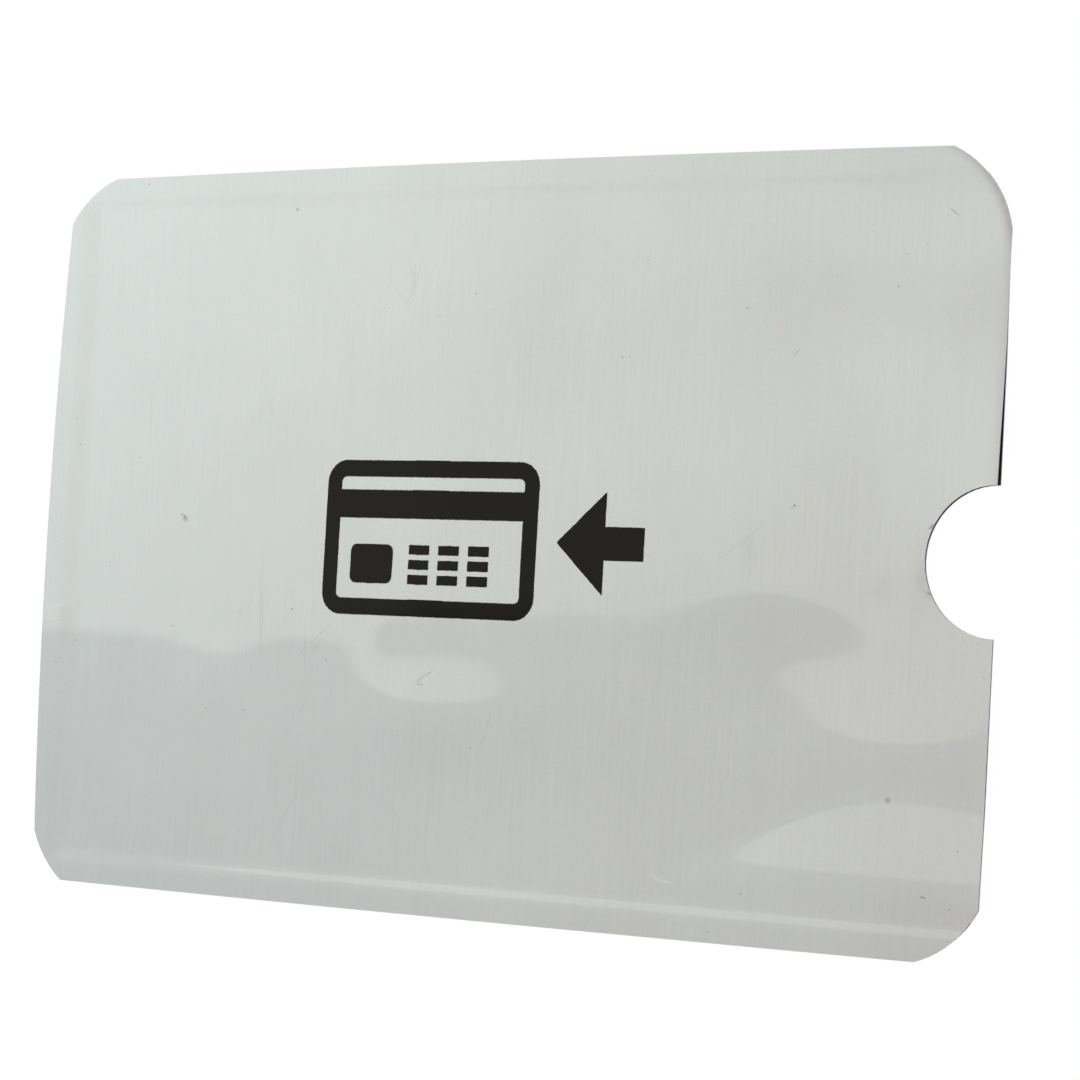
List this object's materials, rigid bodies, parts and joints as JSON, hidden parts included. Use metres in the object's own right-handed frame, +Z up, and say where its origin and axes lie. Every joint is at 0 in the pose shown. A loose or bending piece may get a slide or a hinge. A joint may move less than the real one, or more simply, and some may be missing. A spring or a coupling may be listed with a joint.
{
  "type": "rfid card sleeve",
  "caption": "Flat sleeve of brushed silver foil laminate that shields a payment card, with sealed edges, cut corners, a card sign on its front and a thumb notch at its open end.",
  "frame": {"origin": "middle of the outline's box, on the plane of the back face that the sleeve lies on", "axes": "+X along the length towards the open mouth, +Y across the width towards the sign's stripe, +Z up out of the printed front"},
  "size_m": [0.091, 0.063, 0.0011],
  "materials": {
    "brushed_film": "metallised film with a fine brushed grain across the sleeve, satin silver",
    "laminating_glue": "thin dried laminating glue",
    "foil": "soft rolled foil, bright",
    "lining": "smooth black lining paper",
    "seal": "milky hot-melt film, fused flat",
    "ink": "screen-printed black ink, satin"
  },
  "bodies": {
    "root": {"back_film": "brushed_film", "back_film_glue": "laminating_glue", "back_foil": "foil", "back_liner_glue": "laminating_glue", "back_liner": "lining", "end_seal": "seal", "top_seal": "seal", "bottom_seal": "seal", "front_liner": "lining", "front_liner_glue": "laminating_glue", "front_foil": "foil", "front_film_glue": "laminating_glue", "front_film": "brushed_film", "front_print": "ink"}
  },
  "joints": []
}
